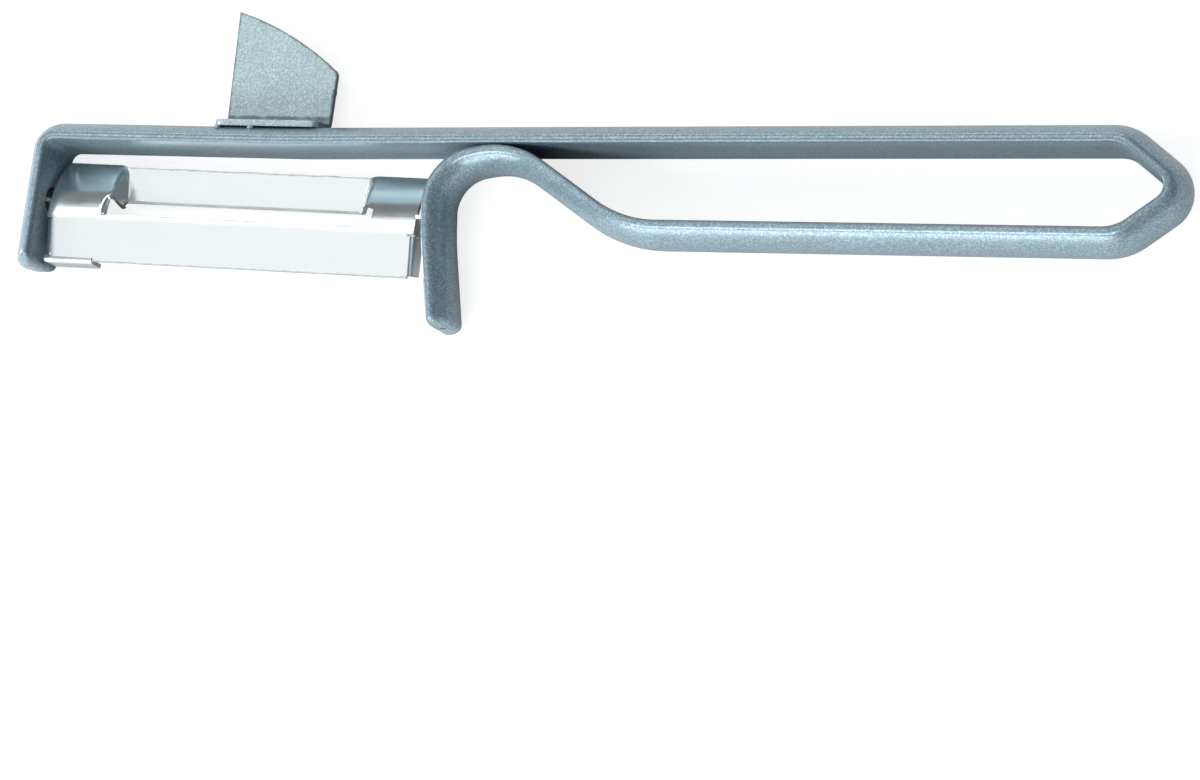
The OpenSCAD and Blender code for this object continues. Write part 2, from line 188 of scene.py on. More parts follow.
def makeGrainGroup():
    # Rolling lines along a sheet, with soft patches where the sheet is a little duller
    group, start, end = newGroup(
        "sheetGrain",
        [("Vector", "NodeSocketVector", None),
         ("Stretch", "NodeSocketVector", (60.0, 2600.0, 2600.0)),
         ("Low Rough", "NodeSocketFloat", 0.2),
         ("High Rough", "NodeSocketFloat", 0.3),
         ("Tone Amount", "NodeSocketFloat", 0.05),
         ("Base", "NodeSocketColor", (0.8, 0.8, 0.8, 1))],
        [("Color", "NodeSocketColor"), ("Roughness", "NodeSocketFloat"), ("Height", "NodeSocketFloat")])
    links = group.links
    stretch = addNode(group, "ShaderNodeVectorMath", operation="MULTIPLY")
    lines = addNode(group, "ShaderNodeTexNoise", Scale=1.0, Detail=4.0, Roughness=0.65)
    patches = addNode(group, "ShaderNodeTexNoise", Scale=190.0, Detail=2.0)
    share = addNode(group, "ShaderNodeMath", operation="MULTIPLY")
    rough = addNode(group, "ShaderNodeMapRange")
    rough.inputs["From Min"].default_value = 0.1
    rough.inputs["From Max"].default_value = 0.4
    tone = addNode(group, "ShaderNodeMath", operation="SUBTRACT")
    tone.inputs[1].default_value = 0.5
    toneShare = addNode(group, "ShaderNodeMath", operation="MULTIPLY")
    gain = addNode(group, "ShaderNodeMath", operation="ADD")
    gain.inputs[1].default_value = 1.0
    tint = addNode(group, "ShaderNodeVectorMath", operation="SCALE")
    links.new(start.outputs["Vector"], stretch.inputs[0])
    links.new(start.outputs["Stretch"], stretch.inputs[1])
    links.new(stretch.outputs[0], lines.inputs["Vector"])
    links.new(start.outputs["Vector"], patches.inputs["Vector"])
    links.new(lines.outputs["Fac"], share.inputs[0])
    links.new(patches.outputs["Fac"], share.inputs[1])
    links.new(share.outputs[0], rough.inputs["Value"])
    links.new(start.outputs["Low Rough"], rough.inputs["To Min"])
    links.new(start.outputs["High Rough"], rough.inputs["To Max"])
    links.new(lines.outputs["Fac"], tone.inputs[0])
    links.new(tone.outputs[0], toneShare.inputs[0])
    links.new(start.outputs["Tone Amount"], toneShare.inputs[1])
    links.new(toneShare.outputs[0], gain.inputs[0])
    links.new(start.outputs["Base"], tint.inputs[0])
    links.new(gain.outputs[0], tint.inputs["Scale"])
    links.new(tint.outputs[0], end.inputs["Color"])
    links.new(rough.outputs[0], end.inputs["Roughness"])
    links.new(lines.outputs["Fac"], end.inputs["Height"])
    return group


def makeRimGroup():
    # Darker and duller metal along the edges, partly wear and partly painted shade, broken up so that it
    # doesn't run as an even line
    group, start, end = newGroup(
        "rimWearAndShade",
        [("Vector", "NodeSocketVector", None),
         ("Color", "NodeSocketColor", (0.8, 0.8, 0.8, 1)),
         ("Rim", "NodeSocketFloat", 0.0),
         ("Rim Color", "NodeSocketColor", (0.1, 0.1, 0.1, 1)),
         ("Amount", "NodeSocketFloat", 0.5)],
        [("Color", "NodeSocketColor"), ("Mask", "NodeSocketFloat")])
    links = group.links
    rough = addNode(group, "ShaderNodeTexNoise", Scale=900.0, Detail=3.0)
    centred = addNode(group, "ShaderNodeMath", operation="SUBTRACT")
    centred.inputs[1].default_value = 0.5
    broken = addNode(group, "ShaderNodeMath", operation="ADD")
    soft = addNode(group, "ShaderNodeMapRange", interpolation_type="SMOOTHSTEP")
    soft.inputs["From Min"].default_value = 0.25
    soft.inputs["From Max"].default_value = 0.95
    share = addNode(group, "ShaderNodeMath", operation="MULTIPLY")
    mix = addNode(group, "ShaderNodeMix", data_type="RGBA")
    links.new(start.outputs["Vector"], rough.inputs["Vector"])
    links.new(rough.outputs["Fac"], centred.inputs[0])
    links.new(centred.outputs[0], broken.inputs[0])
    links.new(start.outputs["Rim"], broken.inputs[1])
    links.new(broken.outputs[0], soft.inputs["Value"])
    links.new(soft.outputs[0], share.inputs[0])
    links.new(start.outputs["Amount"], share.inputs[1])
    links.new(share.outputs[0], mix.inputs["Factor"])
    links.new(start.outputs["Color"], mix.inputs["A"])
    links.new(start.outputs["Rim Color"], mix.inputs["B"])
    links.new(mix.outputs["Result"], end.inputs["Color"])
    links.new(share.outputs[0], end.inputs["Mask"])
    return group


coatFleck = makeFleckGroup()
sheetGrain = makeGrainGroup()
rimWearAndShade = makeRimGroup()


def newMaterial(name):
    material = bpy.data.materials.new(name)
    material.use_nodes = True
    tree = material.node_tree
    shader = tree.nodes["Principled BSDF"]
    place = tree.nodes.new("ShaderNodeTexCoord")
    return material, tree, shader, place.outputs["Object"]


def addBump(tree, shader, height, strength, distance):
    bump = addNode(tree, "ShaderNodeBump")
    bump.inputs["Strength"].default_value = strength
    bump.inputs["Distance"].default_value = distance
    tree.links.new(height, bump.inputs["Height"])
    tree.links.new(bump.outputs["Normal"], shader.inputs["Normal"])


def addRim(tree, shader, place, colour, roughness, look):
    # The mesh attribute "rim" is 1 on an edge and 0 away from it; there the colour is darkened, partly as
    # wear and partly as painted shade
    rim = addNode(tree, "ShaderNodeAttribute", attribute_name="rim")
    edgeDarkening = addNode(tree, "ShaderNodeGroup", node_tree=rimWearAndShade)
    edgeDarkening.inputs["Rim Color"].default_value = look["rim"]
    edgeDarkening.inputs["Amount"].default_value = look["rimAmount"]
    duller = addNode(tree, "ShaderNodeMath", operation="MULTIPLY_ADD")
    duller.inputs[1].default_value = 0.15
    tree.links.new(place, edgeDarkening.inputs["Vector"])
    tree.links.new(colour, edgeDarkening.inputs["Color"])
    tree.links.new(rim.outputs["Fac"], edgeDarkening.inputs["Rim"])
    tree.links.new(edgeDarkening.outputs["Color"], shader.inputs["Base Color"])
    tree.links.new(edgeDarkening.outputs["Mask"], duller.inputs[0])
    tree.links.new(roughness, duller.inputs[2])
    tree.links.new(duller.outputs[0], shader.inputs["Roughness"])


def makeCoat(name, look):
    material, tree, shader, place = newMaterial(name)
    fleck = addNode(tree, "ShaderNodeGroup", node_tree=coatFleck)
    fleck.inputs["Base"].default_value = look["base"]
    fleck.inputs["Fleck"].default_value = look["fleck"]
    fleck.inputs["Fleck Scale"].default_value = look["fleckScale"]
    fleck.inputs["Fleck Amount"].default_value = look["fleckAmount"]
    fleck.inputs["Patch Amount"].default_value = look["patchAmount"]
    tree.links.new(place, fleck.inputs["Vector"])
    rough = addNode(tree, "ShaderNodeMapRange")
    rough.inputs["To Min"].default_value = look["roughness"]
    rough.inputs["To Max"].default_value = look["fleckRoughness"]
    tree.links.new(fleck.outputs["Mask"], rough.inputs["Value"])
    addRim(tree, shader, place, fleck.outputs["Color"], rough.outputs[0], look)
    shader.inputs["Metallic"].default_value = look["metallic"]
    shader.inputs["Specular IOR Level"].default_value = look["specular"]
    shader.inputs["Coat Weight"].default_value = look["coat"]
    shader.inputs["Coat Roughness"].default_value = look["coatRoughness"]
    addBump(tree, shader, fleck.outputs["Height"], look["peel"], 0.00004)
    return material


def makeSheet(name, look):
    material, tree, shader, place = newMaterial(name)
    grain = addNode(tree, "ShaderNodeGroup", node_tree=sheetGrain)
    grain.inputs["Base"].default_value = look["base"]
    grain.inputs["Stretch"].default_value = look["stretch"]
    grain.inputs["Low Rough"].default_value = look["lowRough"]
    grain.inputs["High Rough"].default_value = look["highRough"]
    grain.inputs["Tone Amount"].default_value = look["tone"]
    tree.links.new(place, grain.inputs["Vector"])
    addRim(tree, shader, place, grain.outputs["Color"], grain.outputs["Roughness"], look)
    shader.inputs["Metallic"].default_value = 1.0
    addBump(tree, shader, grain.outputs["Height"], look["bump"], 0.00001)
    return material


coatLook = {
    "base": (0.165, 0.255, 0.315, 1), "fleck": (0.6, 0.71, 0.74, 1), "fleckScale": 7000.0,
    "fleckAmount": 0.55, "patchAmount": 0.05, "roughness": 0.33, "fleckRoughness": 0.25,
    "metallic": 0.35, "specular": 0.45, "coat": 0.2, "coatRoughness": 0.16, "peel": 0.25,
    # rim and rimAmount: colour and strength of the darker edges, partly wear and partly painted shade
    "rim": (0.07, 0.1, 0.12, 1), "rimAmount": 0.45,
}
sheetCoatLook = dict(coatLook, base=(0.28, 0.38, 0.41, 1), fleck=(0.76, 0.87, 0.88, 1), roughness=0.46,
                     fleckRoughness=0.38, rimAmount=0.8)
# Near-black painted shade for the inside of the hinge holes
boreShadeLook = dict(coatLook, base=(0.012, 0.014, 0.017, 1), fleck=(0.05, 0.055, 0.06, 1), fleckAmount=0.3,
                roughness=0.6, fleckRoughness=0.5, specular=0.2, coat=0.0, peel=0.6)
weldLook = dict(coatLook, base=(0.3, 0.37, 0.4, 1), peel=0.8)
bladeLook = {
    "base": (0.83, 0.87, 0.88, 1), "stretch": (70.0, 2600.0, 2600.0), "lowRough": 0.16, "highRough": 0.26,
    "tone": 0.06, "bump": 0.06, "rim": (0.2, 0.24, 0.25, 1), "rimAmount": 0.55,
}

silverCoat = makeCoat("silverCoat", coatLook)
sheetCoat = makeCoat("sheetCoat", sheetCoatLook)
weldCoat = makeCoat("weldCoat", weldLook)
bladeSteel = makeSheet("bladeSteel", bladeLook)
boreShade = makeCoat("boreShade", boreShadeLook)
print("materials made")


# The handle: one half-round strip swept along its path

strip = {
    "width": 10.0, "thickness": 3.3,
    "flatCorner": 0.45, "cornerSteps": 5,           # rounding between the flat face and the sides
    "shoulder": 1.2, "shoulderSteps": 6,            # rounding between the sides and the dome
    "domeRadius": 6.6, "domeSteps": 22,
    "legEnd": (-83.0, -15.65), "heading": 87.0,
    # straight length, turn in degrees, radius of the flat face
    "path": [(17.3, -88.1, 1.4), (35.5, 1.3, 60.0), (119.2, -39.2, 4.0), (5.5, -104.0, 2.0),
             (4.9, -37.4, 5.5), (62.206, -33.6, 16.0), (10.2, 44.0, 13.0), (1.4, 84.0, 8.0),
             (2.5, 5.0, 40.0)],
    "hookEnd": 11.6,
    "straightStep": 1.6, "bendStep": 3.5,           # millimetres and degrees between rings
    "endLength": 1.9, "endEdge": 0.95, "endRings": 10,
    "holeRadius": 1.95, "blindDepth": 2.4,
    "hinge": (-82.452, -5.194, 5.0), "hingeSlope": -2.15, "hingeSpan": 60.43,
}


def stripSection(bm):
    # The closed section as [outward, 0, z], drawn round from the middle of the flat face
    middle, corner, shoulder = strip["width"] / 2, strip["flatCorner"], strip["shoulder"]
    domeCentre = strip["thickness"] - strip["domeRadius"]
    reach = strip["domeRadius"] - shoulder
    shoulderX = domeCentre + math.sqrt(reach ** 2 - (middle - shoulder) ** 2)
    domeHalf = math.degrees(math.asin((middle - shoulder) / reach))
    axis = (0, 1, 0)
    start = bm.verts.new((0, 0, middle))
    vert = drawTo(bm, start, (0, 0, 2 * middle - corner - 0.25))
    vert = drawTo(bm, vert, (0, 0, 2 * middle - corner))
    vert = drawArc(bm, vert, (corner, 0, 2 * middle - corner), axis, 90, strip["cornerSteps"])
    vert = drawTo(bm, vert, (shoulderX, 0, 2 * middle))
    vert = drawArc(bm, vert, (shoulderX, 0, 2 * middle - shoulder), axis, 90 - domeHalf,
                   strip["shoulderSteps"])
    vert = drawArc(bm, vert, (domeCentre, 0, middle), axis, 2 * domeHalf, strip["domeSteps"])
    vert = drawArc(bm, vert, (shoulderX, 0, shoulder), axis, 90 - domeHalf, strip["shoulderSteps"])
    vert = drawTo(bm, vert, (corner, 0, 0))
    vert = drawArc(bm, vert, (corner, 0, corner), axis, 90, strip["cornerSteps"])
    vert = drawTo(bm, vert, (0, 0, corner + 0.25))
    bm.edges.new((vert, start))
    # The corners of the flat face are marked for the darker edges in the material, partly wear and partly
    # painted shade
    rim = bm.verts.layers.float.new("rim")
    for vert in bm.verts:
        onCorner = vert.co.x < corner + 0.01 and abs(vert.co.z - middle) > middle - corner - 0.01
        vert[rim] = 1.0 if onCorner else 0.0


def ringOf(result):
    return [e for e in result if isinstance(e, bmesh.types.BMEdge)]


def ringVerts(edges):
    return list({v for e in edges for v in e.verts})


def pushRing(bm, edges, way):
    edges = ringOf(bmesh.ops.extrude_edge_only(bm, edges=edges)["geom"])
    bmesh.ops.translate(bm, verts=ringVerts(edges), vec=way)
    return edges


def turtleWay(heading):
    return Vector((math.cos(math.radians(heading)), math.sin(math.radians(heading)), 0))


def scaleRing(bm, edges, place, heading, outScale, zScale):
    # Draws a ring in towards the middle of the strip, across its thickness and its width
    middle = place + turtleWay(heading + 90) * strip["thickness"] / 2
    middle.z = strip["width"] / 2
    turn = Matrix.Rotation(math.radians(heading + 90), 4, "Z")
    toRing = turn.inverted() @ Matrix.Translation(-middle)
    scale = toRing.inverted() @ Matrix.Diagonal((outScale, 1, zScale, 1)) @ toRing
    bmesh.ops.transform(bm, matrix=scale, verts=ringVerts(edges))


def endScales(left):
    # How far the section has drawn in at a distance from the cut end
    edge = strip["endEdge"]
    edgeDrop = edge - math.sqrt(max(0.0, edge ** 2 - max(0.0, edge - left) ** 2))
    full = 1 - max(0.0, 1 - left / strip["endLength"]) ** 2.6
    return 1 - 2 * edgeDrop / strip["thickness"], max(0.4, full ** 0.45)


def roundEnd(bm, edges, place, heading, way):
    # place is the last full ring's place, and way is 1 at the far end and -1 at the near end
    length, rings = strip["endLength"], strip["endRings"]
    outScale, zScale, done = 1.0, 1.0, 0.0
    for k in range(1, rings + 1):
        reach = length * math.sin(math.pi / 2 * k / rings)
        edges = pushRing(bm, edges, turtleWay(heading) * way * (reach - done))
        done = reach
        newOut, newZ = endScales(length - reach)
        scaleRing(bm, edges, place + turtleWay(heading) * way * reach, heading, newOut / outScale,
                  newZ / zScale)
        outScale, zScale = newOut, newZ
    bmesh.ops.contextual_create(bm, geom=edges)


def pushStraight(bm, edges, place, heading, length, step):
    count = max(1, round(length / step))
    for k in range(count):
        edges = pushRing(bm, edges, turtleWay(heading) * length / count)
    return edges, place + turtleWay(heading) * length


def pushBend(bm, edges, place, heading, turn, radius):
    side = 1 if turn > 0 else -1
    centre = place + turtleWay(heading + 90) * side * radius
    steps = max(2, math.ceil(abs(turn) / strip["bendStep"]))
    result = bmesh.ops.spin(bm, geom=ringVerts(edges) + list(edges), cent=centre, axis=(0, 0, 1),
                            dvec=(0, 0, 0), angle=math.radians(turn), steps=steps, use_duplicate=False)
    edges = ringOf(result["geom_last"])
    place = centre + Matrix.Rotation(math.radians(turn), 3, "Z") @ (place - centre)
    return edges, place, heading + turn


def buildStrip():
    bm = bmesh.new()
    stripSection(bm)
    heading = strip["heading"]
    begin = Vector((strip["legEnd"][0], strip["legEnd"][1], 0))
    place = begin + turtleWay(heading) * strip["endLength"]
    stand = Matrix.Translation(place) @ Matrix.Rotation(math.radians(heading + 90), 4, "Z")
    bmesh.ops.transform(bm, matrix=stand, verts=bm.verts)
    first = list(bm.edges)
    edges = first
    for k, (length, turn, radius) in enumerate(strip["path"]):
        length = length - strip["endLength"] if k == 0 else length
        edges, place = pushStraight(bm, edges, place, heading, length, strip["straightStep"])
        edges, place, heading = pushBend(bm, edges, place, heading, turn, radius)
    length = strip["hookEnd"] - strip["endLength"]
    edges, place = pushStraight(bm, edges, place, heading, length, strip["straightStep"])
    roundEnd(bm, edges, place, heading, 1)
    roundEnd(bm, first, begin + turtleWay(strip["heading"]) * strip["endLength"], strip["heading"], -1)
    bmesh.ops.remove_doubles(bm, verts=bm.verts, dist=0.0005)
    bmesh.ops.recalc_face_normals(bm, faces=bm.faces)
    return bm


def hingeFrame():
    return (Matrix.Translation(Vector(strip["hinge"]))
            @ Matrix.Rotation(math.radians(strip["hingeSlope"]), 4, "Z"))


def spinRound(bm, axis, steps):
    bmesh.ops.spin(bm, geom=list(bm.verts) + list(bm.edges), cent=(0, 0, 0), axis=axis, dvec=(0, 0, 0),
                   angle=2 * math.pi, steps=steps, use_merge=True, use_duplicate=False)
    bmesh.ops.remove_doubles(bm, verts=bm.verts, dist=0.0001)


def buildDrills():
    # One round cutter for each hinge hole, turned about the hinge axis
    span, radius = strip["hingeSpan"], strip["holeRadius"]
    bm = bmesh.new()
    for start, end in ((-strip["thickness"] - 1.5, 1.5), (span - 1.5, span + strip["blindDepth"])):
        axisStart = bm.verts.new((start, 0, 0))
        vert = drawTo(bm, axisStart, (start, 0, radius))
        vert = drawTo(bm, vert, (end - 0.25, 0, radius))
        vert = drawTo(bm, vert, (end, 0, radius - 0.25))
        drawTo(bm, vert, (end, 0, 0))
    spinRound(bm, (1, 0, 0), 64)
    bmesh.ops.recalc_face_normals(bm, faces=bm.faces)
    bmesh.ops.transform(bm, matrix=hingeFrame(), verts=bm.verts)
    return bm


def cutterObject(name, bm, scale):
    mesh = bpy.data.meshes.new(name)
    bmesh.ops.transform(bm, matrix=Matrix.Scale(scale, 4), verts=bm.verts)
    bm.to_mesh(mesh)
    bm.free()
    cutter = bpy.data.objects.new(name, mesh)
    scene.collection.objects.link(cutter)
    return cutter


def discard(piece):
    mesh = piece.data
    bpy.data.objects.remove(piece)
    bpy.data.meshes.remove(mesh)


def cutWith(piece, cutter, operation):
    cut = piece.modifiers.new("cut", "BOOLEAN")
    cut.operation = operation
    cut.solver = "EXACT"
    cut.object = cutter
    applyModifiers(piece)
    discard(cutter)


def darkenBores(piece, material):
    # Painted shade: the inside of the two hinge holes is coloured near black, as the shadow in them
    piece.data.materials.append(material)
    toHinge = (Matrix.Scale(mm, 4) @ hingeFrame()).inverted()
    for face in piece.data.polygons:
        spot = toHinge @ face.center
        normal = toHinge.to_3x3() @ face.normal
        inBore = math.hypot(spot.y, spot.z) < strip["holeRadius"] + 0.01
        sideways = abs(normal.normalized().x) < 0.5 or spot.x > strip["hingeSpan"] + 1.0
        if inBore and sideways and -5.5 < spot.x < strip["hingeSpan"] + 3.0:
            face.material_index = 1


handlePiece = newPiece("handleStrip", buildStrip(), silverCoat, "handle", ["handle_strip"])
cutWith(handlePiece, cutterObject("hingeDrills", buildDrills(), mm), "DIFFERENCE")
darkenBores(handlePiece, boreShade)
smoothByAngle(handlePiece, 32)
weightNormals(handlePiece)
print("strip made:", len(handlePiece.data.polygons))


# Sheet metal: a flat pattern is cut from a fine slab, its rims are rounded, and then it is bent

def raiseFaces(bm, height):
    # Turns flat faces into a closed slab
    raised = bmesh.ops.extrude_face_region(bm, geom=list(bm.faces), use_keep_orig=True)["geom"]
    raisedVerts = [v for v in raised if isinstance(v, bmesh.types.BMVert)]
    bmesh.ops.translate(bm, verts=raisedVerts, vec=(0, 0, height))
    bmesh.ops.recalc_face_normals(bm, faces=bm.faces)


def cutSheet(name, low, high, step, thickness, outline, holes, rim, edgeDarkening, extraAcross, extraAlong):
    across, along = high[0] - low[0], high[1] - low[1]
    bm = bmesh.new()
    bmesh.ops.create_grid(bm, x_segments=round(across / step), y_segments=round(along / step), size=0.5)
    place = Matrix.Translation(((low[0] + high[0]) / 2, (low[1] + high[1]) / 2, -thickness / 2))
    bmesh.ops.transform(bm, matrix=place @ Matrix.Diagonal((across, along, 1, 1)), verts=bm.verts)
    for places, way in ((extraAcross, Vector((1, 0, 0))), (extraAlong, Vector((0, 1, 0)))):
        for place in places:
            bmesh.ops.bisect_plane(bm, geom=list(bm.verts) + list(bm.edges) + list(bm.faces), dist=0.005,
                                   plane_co=way * place, plane_no=way)
    raiseFaces(bm, thickness)
    slab = cutterObject(name, bm, 1.0)
    for shape, operation in [(outline, "INTERSECT")] + [(hole, "DIFFERENCE") for hole in holes]:
        cutWith(slab, cutterObject(name + "Cutter", prism(shape, thickness), 1.0), operation)
    bm = bmesh.new()
    bm.from_mesh(slab.data)
    discard(slab)
    bmesh.ops.remove_doubles(bm, verts=bm.verts, dist=0.06)
    rimEdges = [e for e in bm.edges if len(e.link_faces) == 2
                and abs(e.verts[0].co.z - e.verts[1].co.z) < 1e-5 and e.calc_face_angle(0) > 1.0]
    rimPlaces = []
    for edge in rimEdges:
        near, far = edge.verts[0].co, edge.verts[1].co
        rimPlaces.append(near.copy())
        rimPlaces.append((near + far) / 2)
    bmesh.ops.bevel(bm, geom=rimEdges, offset=rim, offset_type="OFFSET", segments=2, profile=0.5,
                    affect="EDGES", clamp_overlap=True, material=-1)
    markRims(bm, rimPlaces, edgeDarkening)
    return bm


def markRims(bm, rimPlaces, edgeDarkening):
    # Writes how near each vertex is to the rim, for the darker edges in the material, which are partly wear
    # and partly painted shade
    rim = bm.verts.layers.float.new("rim")
    tree = KDTree(len(rimPlaces))
    for k, spot in enumerate(rimPlaces):
        tree.insert((spot.x, spot.y, 0), k)
    tree.balance()
    for vert in bm.verts:
        vert[rim] = max(0.0, 1 - tree.find((vert.co.x, vert.co.y, 0))[2] / edgeDarkening)


def prism(shape, thickness):
    # shape holds straight corners as (x, y), and arcs as (centre x, centre y, degrees, steps)
    bm = bmesh.new()
    start = bm.verts.new((shape[0][0], shape[0][1], -thickness))
    vert = start
    for part in shape[1:]:
        if len(part) == 2:
            vert = drawTo(bm, vert, (part[0], part[1], -thickness))
        else:
            vert = drawArc(bm, vert, (part[0], part[1], -thickness), (0, 0, 1), part[2], part[3])
    bm.edges.new((vert, start))
    bmesh.ops.remove_doubles(bm, verts=bm.verts, dist=0.02)
    bmesh.ops.contextual_create(bm, geom=list(bm.edges))
    raiseFaces(bm, 2 * thickness)
    return bm


def bendSheet(bm, middleAt, offAt):
    # middleAt gives the bent middle surface, and the thickness from offAt stands on its normal
    step = 0.004
    for vert in bm.verts:
        across, along, off = vert.co
        off = offAt(across, along, off)
        centre = middleAt(across, along)
        acrossWay = middleAt(across + step, along) - middleAt(across - step, along)
        alongWay = middleAt(across, along + step) - middleAt(across, along - step)
        vert.co = centre + acrossWay.cross(alongWay).normalized() * off
    bmesh.ops.recalc_face_normals(bm, faces=bm.faces)


# The eye remover: an upright plate with a curved edge, bent up from a flange on the bar

bracket = {
    "place": (-56.461, 5.789), "turn": -1.1,        # left end of the bend line on the crown of the bar
    "sheet": 0.9, "width": 16.5, "footWidth": 16.2,
    "flange": 4.98, "droop": 8.0, "frontZ": 8.2, "frontY": 0.096,
    "bend": 0.95, "tip": 18.1,
    "shoulder": 8.6, "shoulderRadius": 1.2, "shoulderTurn": 48.0,
    "edgeCentre": (-13.2, -25.96), "edgeTurn": -22.9,
    "corner": 2.0, "frontCorner": 0.5, "footStep": 1.2, "step": 0.42, "spare": 0.7,
    # rim marks: how wide they are, where the front edge has none, and those of the bend, which are painted
    # shade
    "rim": 0.14, "edgeDarkening": 0.55, "bareFront": 1.3, "bendShade": 0.8, "pastBend": 0.7,
}


def onBar():
    # Moves what is drawn at the origin to the bracket's place on the bar
    x, y = bracket["place"]
    return Matrix.Translation((x, y, 0)) @ Matrix.Rotation(math.radians(bracket["turn"]), 4, "Z")


def bracketMiddle(across, along):
    # along runs from the flange's front edge back to the bend and up the plate
    droop = math.radians(bracket["droop"])
    bend = bracket["bend"]
    z = bracket["frontZ"] - min(along, bracket["flange"]) * math.cos(droop)
    y = bracket["frontY"] + min(along, bracket["flange"]) * math.sin(droop)
    turn = min(max(along - bracket["flange"], 0) / bend, math.pi / 2 - droop)
    end = droop + turn
    z -= bend * (math.sin(end) - math.sin(droop))
    y += bend * (math.cos(droop) - math.cos(end))
    left = along - bracket["flange"] - bend * turn
    if turn >= math.pi / 2 - droop:
        y += left
    return Vector((across, y, z))


def buildBracket():
    rise = bracket["flange"] + bracket["bend"] * math.radians(90 - bracket["droop"])
    bendTop = bracketMiddle(0, rise).y
    lift = rise - bendTop
    width, foot = bracket["width"], bracket["footWidth"]
    corner, front = bracket["corner"], bracket["frontCorner"]
    radius, spare = bracket["shoulderRadius"], bracket["spare"]
    outline = [
        (0, bracket["tip"] + lift),
        (0, corner),
        (corner, corner, 90, 8),
        (foot - front, 0),
        (foot - front, front, 90, 5),
        (foot, rise - bracket["footStep"]),
        (width, bracket["shoulder"] + lift),
        (width - radius, bracket["shoulder"] + lift, bracket["shoulderTurn"], 8),
        (bracket["edgeCentre"][0], bracket["edgeCentre"][1] + lift, -bracket["edgeTurn"], 26),
    ]
    bm = cutSheet("bracketSlab", (-spare, -spare), (width + spare, bracket["tip"] + lift + spare),
                  bracket["step"], bracket["sheet"], outline, [], bracket["rim"], bracket["edgeDarkening"], [], [])
    # The flange's front edge keeps no darker edge, and the inside of the bend is darkened as painted shade
    edgeDarkening = bm.verts.layers.float["rim"]
    for vert in bm.verts:
        if vert.co.y < bracket["bareFront"]:
            vert[edgeDarkening] = 0.0
        elif bracket["flange"] < vert.co.y < rise + bracket["pastBend"]:
            vert[edgeDarkening] = max(vert[edgeDarkening], bracket["bendShade"])
    bendSheet(bm, bracketMiddle, lambda across, along, off: off)
    bmesh.ops.transform(bm, matrix=onBar(), verts=bm.verts)
    return bm


bracketPiece = newPiece("eyeRemover", buildBracket(), sheetCoat, "handle", ["eye_remover"])
smoothByAngle(bracketPiece, 35)
weightNormals(bracketPiece)
print("eye remover made:", len(bracketPiece.data.polygons))


# Weld beads in the gap in front of the flange, and the weld between the hump and the bar

welds = {
    "beadRadius": 0.5, "beads": [1.0, 6.2], "beadOut": -0.62, "beadFront": 8.15,
    "hump": (-11.89, 2.06, 5.0), "humpRadius": 2.15, "humpHeight": 0.46,
}


def buildBeads():
    bm = bmesh.new()
    for k, along in enumerate(welds["beads"]):
        made = bmesh.ops.create_uvsphere(bm, u_segments=32, v_segments=20,
                                         radius=welds["beadRadius"])["verts"]
        for vert in made:
            ripple = math.sin(13 * vert.co.x + 2 * k) * 0.03 + math.sin(17 * vert.co.y + 9 * vert.co.z) * 0.02
            vert.co *= 1 - 0.05 + ripple
        bmesh.ops.scale(bm, vec=(1.0, 0.8, 0.95), verts=made)
        bmesh.ops.translate(bm, vec=(along, welds["beadOut"], welds["beadFront"]), verts=made)
    bmesh.ops.transform(bm, matrix=onBar(), verts=bm.verts)
    bmesh.ops.recalc_face_normals(bm, faces=bm.faces)
    return bm


def buildHumpWeld():
    radius, height = welds["humpRadius"], welds["humpHeight"]
    bm = bmesh.new()
    vert = bm.verts.new((0, 0, 0))
    vert = drawTo(bm, vert, (radius * 0.93, 0, 0))
    for x, y in ((1.0, 0.12), (0.95, 0.3), (0.91, 0.5), (0.95, 0.72), (1.0, 0.9), (0.93, 1.0), (0, 1.0)):
        vert = drawTo(bm, vert, (radius * x, height * y, 0))
    spinRound(bm, (0, 1, 0), 48)
    bmesh.ops.translate(bm, vec=welds["hump"], verts=bm.verts)
    bmesh.ops.recalc_face_normals(bm, faces=bm.faces)
    return bm


beadPiece = newPiece("tackBeads", buildBeads(), weldCoat, "handle", ["tack_welds"])
smoothByAngle(beadPiece, 60)
humpPiece = newPiece("humpWeld", buildHumpWeld(), weldCoat, "handle", ["hump_weld"])
smoothByAngle(humpPiece, 50)
print("welds made")


# The blade: one pressed sheet with a slot, a flat lip, two folded ends and two tongues

blade = {
    "sheet": 0.6, "gap": 0.55, "length": 57.95,
    "low": (-9.0, 0.5), "panel": 6.4, "panelLean": 8.0, "foldLength": 0.7,
    "panelWay": (0.9903, 0.1392),       # up and forward along the panel, for what lies below its edge
    "wallRadius": 13.0, "wallLeans": (6.0, 51.0),
    "slot": (8.8, 51.6), "slotLow": 6.97, "slotTop": 10.03,
    # the slot's left end is turned down
    "flap": 0.95, "flapLow": 1.4, "flapCorner": 0.45, "flapBend": 0.3, "flapTurn": 65.0,
    # the lip is pressed back: where its turn starts and ends, at the cutting edge and at the top
    "lipLeft": ((9.8, 10.35), (9.0, 10.6)), "lipRight": ((50.7, 47.5), (50.2, 48.8)),
    "lipLean": 9.0, "lipLength": 5.35, "lipGround": 0.42, "lipTip": -0.16,
    "earBend": 0.42, "earTop": -3.0,
    "leftEar": (-8.2, -4.5, -2.17), "rightEar": (-8.7, -8.2, -2.3),     # low end, step and depth
    "rootLow": -3.15, "rootTop": 0.3,
    "flange": 7.7, "flangeDepth": 3.2, "flangeBend": 0.35, "flangeCorner": 0.6, "flangeSlit": 0.45,
    # rim is the rounding of the sheet's rims; next to it, how far the darker edges reach, partly wear and
    # partly painted shade
    "notch": 0.07, "rim": 0.07, "edgeDarkening": 0.35, "corner": 0.9, "step": 0.42,
    "tongueRadius": 1.87, "leftReach": 2.5, "rightReach": 2.0,
}


wallStep, wallSpare = 0.01, 400      # spacing of the traced points, and how many go on past the top


